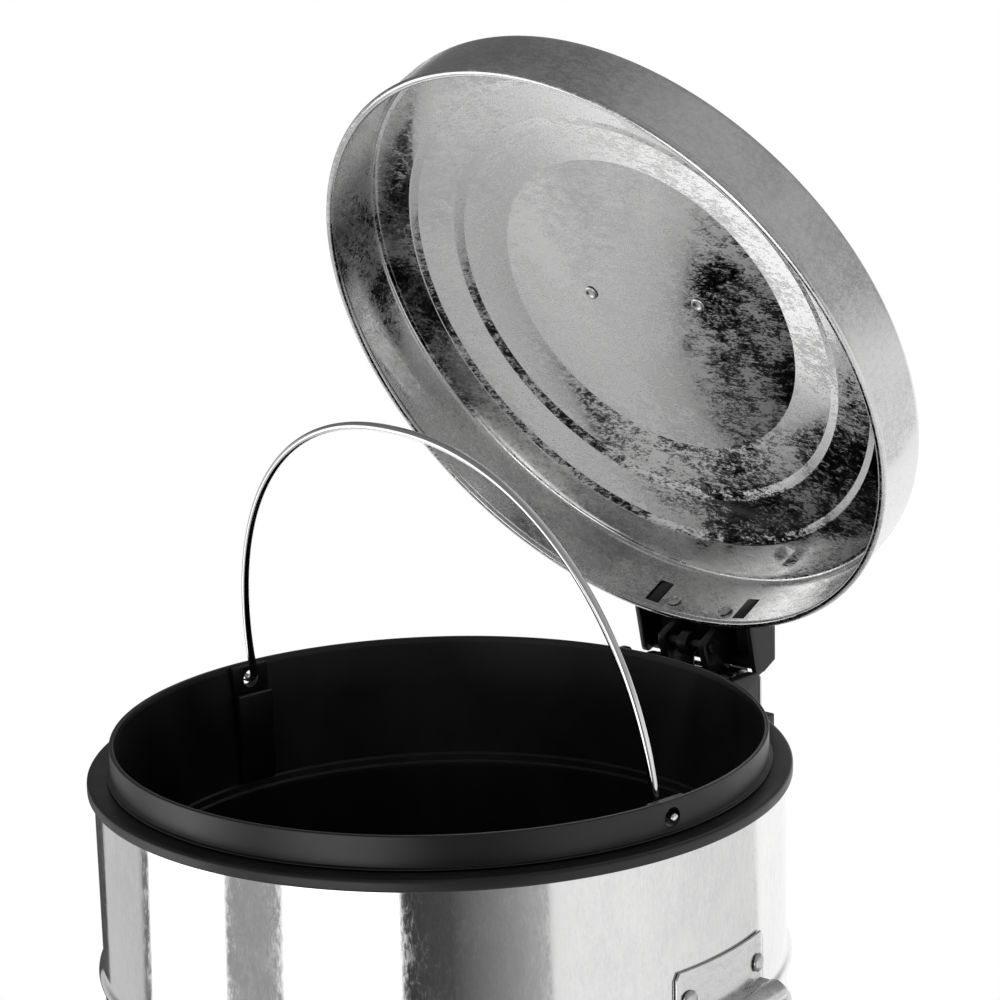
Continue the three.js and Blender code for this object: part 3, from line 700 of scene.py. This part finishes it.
tools = []
for s in (-1, 1):
    a, b = sorted((s * 21.6, s * 28.9))
    tools.append(slab(a, b, 120, 155, LID_Z + 3.1, LID_Z + 16.9))
    tools.append(radial_peg(2.2, s * BRACKET_X, 120, 155, LID_Z + BRACKET_RISE))
    tools.append(post(2.2, LID_Z + 30, LID_Z + 60, s * STUD_X, STUD_Y))
cut(lid, *tools)
piece(lid, "lid", "lid", LID, STEEL_LID, smooth=28)

# The strap handle on the outside, riveted through the middle disc.
STRAP_T = 1.6
z0 = LID_Z + LID_RISE + GAP
under = [(-38.3, z0), (-22.3, z0, 3), (-19.3, z0 + 16, 3), (-14.3, z0 + 20, 4)]
over = [(-38.3, z0 + STRAP_T), (-23.9, z0 + STRAP_T, 3), (-20.9, z0 + 16.6, 4.4), (-15.3, z0 + 21.6, 4)]


def mirror_line(line):
    return line + [(-p[0], *p[1:]) for p in reversed(line)]


lower_line = rounded(mirror_line(under), 5, closed=False)
upper_line = rounded(mirror_line(over), 5, closed=False)
strap = prism("strap", lower_line + upper_line[::-1], -14, 4, "y")
corner_tools = []
for s in (-1, 1):
    for t in (-1, 1):
        tool = slab(-3, 3, -12, 12, z0 - 3, z0 + 5)
        tool.data.transform(turn(s * t * 45, "Z"))
        tool.data.transform(move(s * 38.9, STUD_Y + t * 9.6, 0))
        corner_tools.append(tool)
cut(strap, *[post(2.2, z0 - 5, z0 + 8, s * STUD_X, STUD_Y) for s in (-1, 1)], *corner_tools)
ease_edges(strap, 0.35, 2)
piece(strap, "lid_handle", "lid", LID, STEEL_PART)

for side, s in (("left", -1), ("right", 1)):
    top = LID_Z + LID_RISE + GAP + STRAP_T + GAP
    low = LID_Z + LID_RISE - LID_T - GAP
    crown = [(r, top + h) for r, h in dome_line(4.2, 1.9)]
    tail = [(1.0, low - 0.2), (1.5, low - 0.3), (1.9, low - 0.52), (2.4, low - 0.6), (2.9, low - 0.5),
            (3.2, low - 0.3), (3.3, low - 0.1)]
    pin = revolve("pin", [
        (0, low - 0.2), *tail, (3.3, low), (1.8, low), (1.8, top), (4.1, top), *crown, (0, top + 1.9),
    ], 48)
    piece(pin, "lid_handle_rivet_" + side, "lid", LID @ move(s * STUD_X, STUD_Y, 0), ZINC)

# ------------------------------------------------------------------ the lid's hinge bracket

HALF, WALL = 33.6, 2.5
slope = [(141, below(-11.9)), (153, below(-5.7)), (167.3, below(1.6))]
roof = [*slope, (167.3, below(4.4)), (153, below(-2.9)), (141, below(-9.1))]
side_wall = [
    (140.4, below(9.1)), (166.5, below(16.2), 3), (167.3, below(1.6)),
    (153, below(-5.7)), (141, below(-11.9)),
]
lug = [
    (147.2, below(-8.6)), (147.2, below(20.5)), (150, below(22.2)), (166, below(24.6)),
    *arc(HINGE_Y, HINGE_Z, 7.4, -60, 90, 18), (167.3, below(9)), (167.3, below(1.6)),
    (153, below(-5.7)),
]
shell = prism("roof", roof, -HALF, HALF)
wrap = revolve("wrap", [
    (144.4, LID_Z + 2.4), (147.2, LID_Z + 2.4), (147.2, LID_Z + 21), (144.4, LID_Z + 21),
])
combine(wrap, [slab(-HALF, HALF, 100, 160, LID_Z, LID_Z + 30)], "INTERSECT")
parts = [slab(-HALF, HALF, 167.3 - WALL, 167.3, below(10.8), below(2.4)), wrap]
for s in (-1, 1):
    parts.append(prism("side", rounded(side_wall), *sorted((s * (HALF - WALL), s * HALF))))
    parts.append(prism("lug", lug, *sorted((s * 10, s * 13.5))))
join(shell, *parts)
cut(
    shell,
    drum(144.4, LID_Z - 20, LID_Z + 40),
    drum(146.3, LID_Z - 20, LID_Z + 2.3),
    bar_x("tool", 4.3, -20, 20, HINGE_Y, HINGE_Z),
    bar_x("tool", 2.8, -20, 20, ROD_PIN_Y, below(ROD_PIN_DROP)),
    *[radial_peg(2.2, s * BRACKET_X, 120, 151, LID_Z + BRACKET_RISE) for s in (-1, 1)],
)
tabs = []
for s in (-1, 1):
    a, b = sorted((s * 22, s * 28.5))
    tabs.append(ease_edges(slab(a, b, 140.9, 145.2, LID_Z + 3.5, LID_Z + 16.5), 0.5))
join(shell, *tabs)
ease_edges(shell, 0.35, 2, 50)
piece(shell, "hinge_bracket", "lid", LID, PLASTIC)

for side, s in (("left", -1), ("right", 1)):
    a = math.degrees(math.asin(s * BRACKET_X / SKIRT))
    r = SKIRT - LID_T - GAP
    spot = LID @ turn(-a, "Z") @ move(0, r, LID_Z + BRACKET_RISE) @ turn(90, "X")
    head = revolve("rivet", [
        (0, -6), (1.8, -6), (1.8, 0), (3.1, 0), (3.3, 0.35), (3.2, 0.8), (2.8, 1.2), (2.2, 1.4),
        (1.7, 1.35), (1.3, 1.0), (1.05, 0.45), (0.7, 0.25), (0, 0.25),
    ], 48)
    piece(head, "bracket_rivet_" + side, "lid", spot, ZINC)

pin = ease_edges(bar_x("pin", 2.5, -14.6, 14.6, ROD_PIN_Y, below(ROD_PIN_DROP), 48), 0.4)
piece(pin, "rod_pin", "lid", LID, PLASTIC)

# ------------------------------------------------------------------ the push rod and the pedal

ROD_LENGTH = 368
rod = prism("rod", circle(0, 0, 3, 40), 3 - ROD_LENGTH, -3, "z")
join(rod, *[ease_edges(bar_x("eye", 5.6, -2.6, 2.6, 0, z), 0.4) for z in (0, -ROD_LENGTH)])
cut(rod, *[bar_x("tool", 2.8, -5, 5, 0, z) for z in (0, -ROD_LENGTH)])
piece(rod, "push_rod", "push_rod", ROD, PLASTIC)
pin = ease_edges(bar_x("pin", 2.5, -9, 9, 0, -ROD_LENGTH), 0.4)
piece(pin, "lever_pin", "push_rod", ROD, WIRE)


def pad_outline(half, y0, y1, r):
    return [
        *arc(half - r, y0 + r, r, -90, 0, 10), *arc(half - r, y1 - r, r, 0, 90, 10),
        *arc(-half + r, y1 - r, r, 90, 180, 10), *arc(-half + r, y0 + r, r, 180, 270, 10),
    ]


lever = ease_edges(slab(-10, 10, -246, 89, -2.5, 2.5), 0.6)
join(
    lever,
    ease_edges(prism("fork", rounded([
        (79, -8, 2), (100, -8, 5), (100, 8, 5), (79, 8, 2),
    ], 6), -10, 10), 0.6),
    bar_x("boss", 7, -10, 10, 0, 0, 64),
    ease_edges(prism("tread", pad_outline(36, -262, -218, 8), -2.5, 0.4, "z"), 0.5),
)
cut(
    lever,
    bar_x("tool", 3.3, -20, 20, 0, 0),
    slab(-3.4, 3.4, 80, 119, -20, 20),
    slab(-20, 20, 82, 95.5, -4.2, 4.8),
)
piece(lever, "pedal_lever", "pedal", PEDAL, ZINC)

pad = ease_edges(prism("pad", pad_outline(38, -264, -220, 9), 2.85, 7.85, "z"), 1.2)
ribs = [ease_edges(slab(-31, 31, -259 + 8 * i, -256 + 8 * i, 6.85, 9.45), 0.7) for i in range(5)]
join(pad, *ribs)
piece(pad, "pedal_pad", "pedal", PEDAL, RUBBER)

z = PAN_Z - PAN_T - GAP
outline = rounded([
    (-14, 25), (-14, z - 1.8, 2.5), (-30, z - 1.8), (-30, z), (30, z), (30, z - 1.8),
    (14, z - 1.8, 2.5), (14, 25), (11.4, 25), (11.4, z - 1.8, 1), (-11.4, z - 1.8, 1), (-11.4, 25),
])
yoke = prism("yoke", outline, 50, 76, "y")
cut(yoke, bar_x("tool", 3.3, -20, 20, PIVOT_Y, PIVOT_Z))
ease_edges(yoke, 0.3, 2)
piece(yoke, "pivot_bracket", "can", CAN, STEEL_PART)
piece(ease_edges(bar_x("pin", 3, -17, 17, PIVOT_Y, PIVOT_Z), 0.4), "pivot_pin", "can", CAN, WIRE)

# ------------------------------------------------------------------ the side handles


def plate_shape():
    """A curved plate with clipped upper corners, whose lower middle is rolled into a tube."""
    r0, r1 = BODY_R + 0.35, BODY_R + 1.45
    span, top, bottom = 11.6, below(66.5), below(TUBE_DROP)
    outline = arc(0, 0, r1, -span, span, 40) + arc(0, 0, r0, span, -span, 40)
    sector = prism("plate", outline, bottom, top, "z")
    corners = []
    for s in (-1, 1):
        tool = slab(120, 160, -3, 3, -6, 6)
        tool.data.transform(turn(s * 28, "X"))
        tool.data.transform(move(0, s * (span * 2.5 + 0.8), top + 1.6))
        corners.append(tool)
    loop = prism("loop", circle(TUBE_X, bottom, 5.2, 56), -26.5, 26.5, "y")
    web = cut(slab(141.3, TUBE_X, -26.4, 26.4, bottom - 1, bottom + 4.4), drum(r0 + 0.25, 250, 360))
    join(sector, loop, web)
    bore = prism("tool", circle(TUBE_X, bottom, 3.7, 48), -28, 28, "y")
    cut(sector, bore, drum(r0 - 0.05, 250, 360), *corners)
    return ease_edges(sector, 0.25, 2, 50)


def bend(a, b, c, steps=8):
    """Points on a quadratic curve from a to c, pulled towards b."""
    a, b, c = Vector(a), Vector(b), Vector(c)
    turns = [k / steps for k in range(steps + 1)]
    return [a * (1 - t) ** 2 + b * 2 * t * (1 - t) + c * t * t for t in turns]


def grip_path():
    """The side handle's wire from the middle of its tube round its grip and back to the tube."""
    half, fall, corner, bend_in = 33, 46, 12, 8
    right = [
        Vector((0, 0.6, 0)),
        *bend((0, half - bend_in, 0), (0, half, 0), (0, half, -bend_in)),
        *bend((0, half, -fall + corner), (0, half, -fall), (0, half - corner, -fall)),
    ]
    return right + [Vector((0, -p.y, p.z)) for p in reversed(right)]


for side, spot in HANDLES.items():
    piece(plate_shape(), "handle_plate_" + side, "can", spot, STEEL_PART)
    for end, s in (("front", -1), ("rear", 1)):
        r = BODY_R + 0.7 + 1.25
        at = spot @ turn(s * 9.1, "Z") @ move(r, 0, below(78)) @ turn(90, "Y")
        piece(rivet(3.8, 1.9), f"plate_rivet_{side}_{end}", "can", at, ZINC)
    grip = sweep("grip", grip_path(), 3, 24)
    tube = spot @ move(TUBE_X, 0, below(TUBE_DROP))
    piece(grip, "drop_handle_" + side, "handle_" + side, tube, WIRE, smooth=50)

# ------------------------------------------------------------------ floor, light and camera

FADE_START, FADE_END = 0.36, 0.68  # metres from the middle, where the floor melts into the backdrop
floor = revolve("floor", [(0, -2), (700, -2), (700, 0), (0, 0)], 128)
floor.name = "floor"
floor.location = (0, 0, -0.0005)
paper = Graph("pale_floor")
paper_grain = paper.noise(300, 3, 0.6)
paper.finish(
    paper.tone(paper_grain, grey(0.80), grey(0.84)), paper.levels(paper_grain, 0.3, 0.7, 0.6, 0.8),
    paper.bump(paper_grain, 0.05, 0.0001),
)
reach = paper.add("ShaderNodeVectorMath", operation="LENGTH")
paper.link(paper.coords, reach.inputs[0])
fade = paper.levels(reach.outputs["Value"], FADE_START, FADE_END, 1.0, 0.0)
paper.link(fade, paper.shader.inputs["Alpha"])
floor.data.materials.append(paper.material)

# The studio is three belts of pale and dark panels, below, level with and above the can.
world = bpy.data.worlds.new("studio")
bpy.context.scene.world = world
world.use_nodes = True
tree = world.node_tree
tree.nodes.clear()


def wnode(kind, **settings):
    node = tree.nodes.new(kind)
    for key, value in settings.items():
        setattr(node, key, value)
    return node


direction = wnode("ShaderNodeTexCoord").outputs["Generated"]
split = wnode("ShaderNodeSeparateXYZ")
tree.links.new(direction, split.inputs["Vector"])
azimuth = wnode("ShaderNodeMath", operation="ARCTAN2")
tree.links.new(split.outputs["Y"], azimuth.inputs[0])
tree.links.new(split.outputs["X"], azimuth.inputs[1])
around = wnode("ShaderNodeMapRange")
around.inputs["From Min"].default_value = -math.pi
around.inputs["From Max"].default_value = math.pi
tree.links.new(azimuth.outputs["Value"], around.inputs["Value"])


def panels(stops):
    """Brightness of the studio's panels by azimuth in degrees, from -180 to 180."""
    node = wnode("ShaderNodeValToRGB")
    ramp = node.color_ramp
    ramp.interpolation = "LINEAR"
    while len(ramp.elements) > 1:
        ramp.elements.remove(ramp.elements[-1])
    ramp.elements[0].position = (stops[0][0] + 180) / 360
    ramp.elements[0].color = (*grey(stops[0][1]), 1)
    for angle, value in stops[1:]:
        ramp.elements.new((angle + 180) / 360).color = (*grey(value), 1)
    tree.links.new(around.outputs["Result"], node.inputs["Fac"])
    return node.outputs["Color"]


level_panels = panels([
    (-180, 0.62), (-162, 0.62), (-161, 0.2), (-157.5, 0.2), (-156.5, 1.9), (-121, 1.9), (-120, 0.38),
    (-99, 0.38), (-98, 2.2), (-60, 2.2), (-59, 0.05), (-44, 0.08), (-25, 0.3), (-12.5, 0.5),
    (-11.5, 0.95), (20, 0.95), (45, 0.86), (78, 0.8), (80, 1.12), (110, 1.06), (140, 1.0),
    (146, 0.08), (165, 0.08), (166, 0.62), (180, 0.62),
])
low_panels = panels([
    (-180, 1.4), (-173, 1.2), (-166, 0.6), (-130, 0.56), (-110, 0.6), (-60, 0.9), (60, 0.9),
    (170, 1.4), (180, 1.4),
])
high_panels = panels([
    (-180, 0.16), (-90, 0.2), (-45, 0.3), (0, 0.36), (30, 0.42), (80, 0.35), (150, 0.14), (180, 0.15),
])


def blend_panels(factor, a, b):
    node = wnode("ShaderNodeMix", data_type="RGBA")
    tree.links.new(factor, node.inputs["Factor"])
    tree.links.new(a, node.inputs["A"])
    tree.links.new(b, node.inputs["B"])
    return node.outputs["Result"]


def height_step(low, high):
    """0 below one elevation in degrees and 1 above the other."""
    node = wnode("ShaderNodeMapRange")
    node.interpolation_type = "SMOOTHSTEP"
    node.inputs["From Min"].default_value = math.sin(math.radians(low))
    node.inputs["From Max"].default_value = math.sin(math.radians(high))
    tree.links.new(split.outputs["Z"], node.inputs["Value"])
    return node.outputs["Result"]


surround = blend_panels(height_step(-33, -27), low_panels, level_panels)
surround = blend_panels(height_step(-6, 14), surround, high_panels)
light_path = wnode("ShaderNodeLightPath")
white = wnode("ShaderNodeRGB")
white.outputs[0].default_value = (1, 1, 1, 1)
seen = blend_panels(light_path.outputs["Is Camera Ray"], surround, white.outputs[0])
background = wnode("ShaderNodeBackground")
tree.links.new(seen, background.inputs["Color"])
tree.links.new(background.outputs[0], wnode("ShaderNodeOutputWorld").inputs["Surface"])


def soft_light(name, place, target, width, height, power):
    data = bpy.data.lights.new(name, "AREA")
    data.shape = "RECTANGLE"
    data.size, data.size_y = width, height
    data.energy = power
    lamp = bpy.data.objects.new(name, data)
    lamp.location = place
    lamp.rotation_euler = (Vector(target) - Vector(place)).to_track_quat("-Z", "Y").to_euler()
    lamp.visible_camera = False
    lamp.visible_glossy = False
    bpy.context.scene.collection.objects.link(lamp)


soft_light("key", (-0.9, -1.5, 1.7), (0, 0, 0.45), 0.8, 1.2, 30)
soft_light("rim", (1.1, 0.9, 1.9), (0, 0.05, 0.5), 0.7, 0.9, 20)

EYE = (779.2, SHIFT_Y - 790.89, RIM + 348.91)
camera_data = bpy.data.cameras.new("camera")
camera_data.lens = 100.8
camera_data.sensor_width = 36
camera_data.shift_x = -0.0025
camera_data.shift_y = 0.0033
camera_data.clip_start = 0.05
camera = bpy.data.objects.new("camera", camera_data)
right = Vector((0.73365, 0.6791, -0.02425))
up = Vector((-0.13514, 0.18078, 0.9742))
ahead = Vector((-0.66596, 0.71144, -0.2244))
pose = Matrix((right, up, -ahead)).transposed().to_4x4()
pose.translation = Vector(EYE) * MM
camera.matrix_world = pose
bpy.context.scene.collection.objects.link(camera)
bpy.context.scene.camera = camera
bpy.context.scene.view_settings.view_transform = "Standard"
